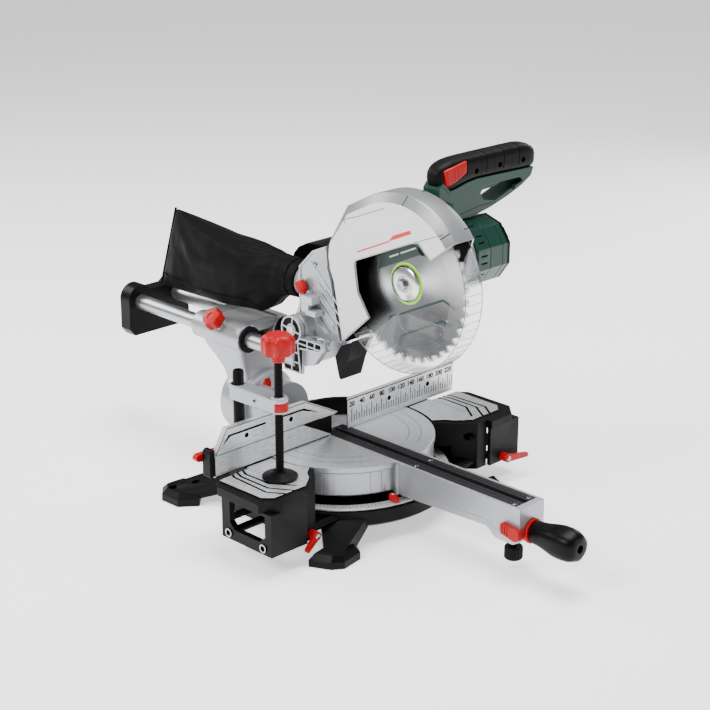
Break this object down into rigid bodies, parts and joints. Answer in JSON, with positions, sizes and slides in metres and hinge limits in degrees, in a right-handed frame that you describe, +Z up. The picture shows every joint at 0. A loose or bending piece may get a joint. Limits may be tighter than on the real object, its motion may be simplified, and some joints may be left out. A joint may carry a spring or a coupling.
{
  "type": "sliding compound mitre saw",
  "caption": "Cordless sliding compound mitre saw: turntable with kerf arm, tilting rail column, chopping blade head, retracting guard, table extensions, fence and clamp.",
  "frame": {"origin": "on the floor below the turntable's mitre axis, which is the middle of the saw's footprint", "axes": "+X to the operator's right, -Y towards the operator along the kerf arm, +Z up"},
  "size_m": [0.5002, 0.85, 0.503],
  "materials": {
    "cast_black": "powder coated, satin",
    "plastic_black": "satin",
    "rubber_black": "matt",
    "silver_paint": "cast and painted, satin",
    "cast_silver": "cast, satin",
    "brushed": "machined, brushed",
    "chrome": "polished",
    "steel": "ground",
    "cover_white": "satin",
    "green": "satin",
    "red": "satin",
    "kerf_grey": "matt",
    "clear": "clear polycarbonate",
    "fabric_black": "woven polyester"
  },
  "bodies": {
    "base": {"base_casting": "cast_black", "degree_scale": "brushed", "left_table_plate": "brushed", "right_table_plate": "brushed", "fence": "brushed", "clamp_post": "plastic_black"},
    "left_extension": {"left_extension_frame": "cast_black", "left_extension_plate": "brushed", "left_extension_tube_front": "steel", "left_extension_tube_rear": "steel"},
    "right_extension": {"right_extension_frame": "cast_black", "right_extension_plate": "brushed", "right_extension_tube_front": "steel", "right_extension_tube_rear": "steel"},
    "left_extension_clamp": {"left_extension_lock": "red"},
    "right_extension_clamp": {"right_extension_lock": "red"},
    "upper_fence": {"left_fence_upper": "brushed", "left_fence_end_cap": "plastic_black"},
    "fence_clamp": {"left_fence_lock": "red"},
    "turntable": {"turntable": "silver_paint", "left_kerf_insert": "kerf_grey", "right_kerf_insert": "kerf_grey", "mitre_pointer": "red", "mitre_pivot_bolt": "steel", "bevel_axle": "steel"},
    "front_foot": {"support_foot": "rubber_black"},
    "mitre_grip": {"mitre_handle": "plastic_black"},
    "mitre_release": {"mitre_latch": "red"},
    "bevel_clamp": {"bevel_lock_lever": "red"},
    "column": {"bevel_column": "cast_silver", "left_rail_seal": "rubber_black", "right_rail_seal": "rubber_black"},
    "rail_clamp": {"rail_lock_knob": "red"},
    "carriage": {"left_rail": "chrome", "right_rail": "chrome", "rail_end_cap": "plastic_black", "head_carrier": "cast_silver", "chop_pin": "steel"},
    "head": {"head_casting": "cast_silver", "upper_guard": "cover_white", "motor_housing": "green", "motor_end_cap": "plastic_black", "handle_body": "green", "handle_grip": "rubber_black", "dust_chute": "silver_paint", "dust_bag": "fabric_black", "battery_pack": "plastic_black", "dust_flap": "rubber_black"},
    "trigger_switch": {"trigger": "plastic_black"},
    "lock_off": {"lock_off_button": "red"},
    "depth_stop": {"depth_stop_screw": "red"},
    "guard": {"lower_guard": "clear"},
    "blade": {"saw_blade": "steel", "blade_spindle": "steel", "blade_flange": "steel"},
    "rotor": {"motor_rotor": "steel"},
    "work_clamp": {"clamp_arm": "silver_paint"},
    "work_clamp_screw": {"clamp_screw": "plastic_black", "clamp_knob": "red", "clamp_pad": "rubber_black"}
  },
  "joints": [
    {"name": "left_extension_travel", "type": "slide", "parent": "base", "child": "left_extension", "axis": [-1, 0, 0], "range_m": [0, 0.11]},
    {"name": "right_extension_travel", "type": "slide", "parent": "base", "child": "right_extension", "axis": [1, 0, 0], "range_m": [0, 0.11]},
    {"name": "left_extension_lock_turn", "type": "hinge", "parent": "base", "child": "left_extension_clamp", "pos_m": [-0.168, -0.118, 0.037], "axis": [0, 1, 0], "range_deg": [-25, 40]},
    {"name": "right_extension_lock_turn", "type": "hinge", "parent": "base", "child": "right_extension_clamp", "pos_m": [0.206, -0.126, 0.037], "axis": [0, 1, 0], "range_deg": [-25, 12]},
    {"name": "upper_fence_travel", "type": "slide", "parent": "base", "child": "upper_fence", "axis": [-1, 0, 0], "range_m": [0, 0.06]},
    {"name": "fence_lock_turn", "type": "hinge", "parent": "base", "child": "fence_clamp", "pos_m": [-0.212, 0.02, 0.12], "axis": [0, 1, 0], "range_deg": [-30, 15]},
    {"name": "mitre_turn", "type": "hinge", "parent": "base", "child": "turntable", "pos_m": [0, 0, 0.1], "axis": [0, 0, 1], "range_deg": [-47, 47]},
    {"name": "support_foot_travel", "type": "slide", "parent": "turntable", "child": "front_foot", "axis": [0, 0, 1], "range_m": [-0.012, 0]},
    {"name": "mitre_handle_turn", "type": "hinge", "parent": "turntable", "child": "mitre_grip", "pos_m": [0, -0.352, 0.064], "axis": [0, -1, 0], "range_deg": [0, 180]},
    {"name": "mitre_latch_swing", "type": "hinge", "parent": "turntable", "child": "mitre_release", "pos_m": [-0.025, -0.3485, 0.065], "axis": [1, 0, 0], "range_deg": [-12, 0], "stiffness_Nm_per_rad": 0.5},
    {"name": "bevel_lock_turn", "type": "hinge", "parent": "turntable", "child": "bevel_clamp", "pos_m": [-0.05, 0.134, 0.141], "axis": [0, 1, 0], "range_deg": [-20, 15]},
    {"name": "bevel_tilt", "type": "hinge", "parent": "turntable", "child": "column", "pos_m": [0, 0.15, 0.1], "axis": [0, -1, 0], "range_deg": [-2, 30]},
    {"name": "rail_lock_turn", "type": "hinge", "parent": "column", "child": "rail_clamp", "pos_m": [-0.035, 0.2, 0.207], "axis": [-0.7071, 0, 0.7071], "range_deg": [-90, 90]},
    {"name": "rail_travel", "type": "slide", "parent": "column", "child": "carriage", "axis": [0, -1, 0], "range_m": [-0.06, 0.135]},
    {"name": "chop", "type": "hinge", "parent": "carriage", "child": "head", "pos_m": [0, 0.05, 0.25], "axis": [1, 0, 0], "range_deg": [0, 43.3], "stiffness_Nm_per_rad": 10, "springref_deg": -74.48},
    {"name": "trigger_press", "type": "slide", "parent": "head", "child": "trigger_switch", "axis": [0, 0, 1], "range_m": [0, 0.005], "stiffness_N_per_m": 400},
    {"name": "lock_off_press", "type": "slide", "parent": "head", "child": "lock_off", "axis": [0, 1, 0], "range_m": [0, 0.003], "stiffness_N_per_m": 400},
    {"name": "depth_stop_turn", "type": "hinge", "parent": "head", "child": "depth_stop", "pos_m": [-0.0285, 0.033, 0.285], "axis": [0, 0.577, 0.8168], "range_deg": [-180, 180]},
    {"name": "lower_guard_turn", "type": "hinge", "parent": "head", "child": "guard", "pos_m": [0, -0.1235, 0.3444], "axis": [-1, 0, 0], "range_deg": [0, 141]},
    {"name": "blade_spin", "type": "hinge", "parent": "head", "child": "blade", "pos_m": [0, -0.1235, 0.3444], "axis": [1, 0, 0], "continuous": true},
    {"name": "rotor_spin", "type": "hinge", "parent": "head", "child": "rotor", "pos_m": [0, -0.15, 0.376], "axis": [1, 0, 0], "continuous": true},
    {"name": "clamp_arm_travel", "type": "slide", "parent": "base", "child": "work_clamp", "axis": [0, 0, -1], "range_m": [-0.012, 0]},
    {"name": "clamp_screw_travel", "type": "slide", "parent": "work_clamp", "child": "work_clamp_screw", "axis": [0, 0, -1], "range_m": [-0.03, 0]}
  ],
  "couplings": [
    {"joint": "lower_guard_turn", "follows": "chop", "ratio": 3.25},
    {"joint": "rotor_spin", "follows": "blade_spin", "ratio": -4}
  ]
}
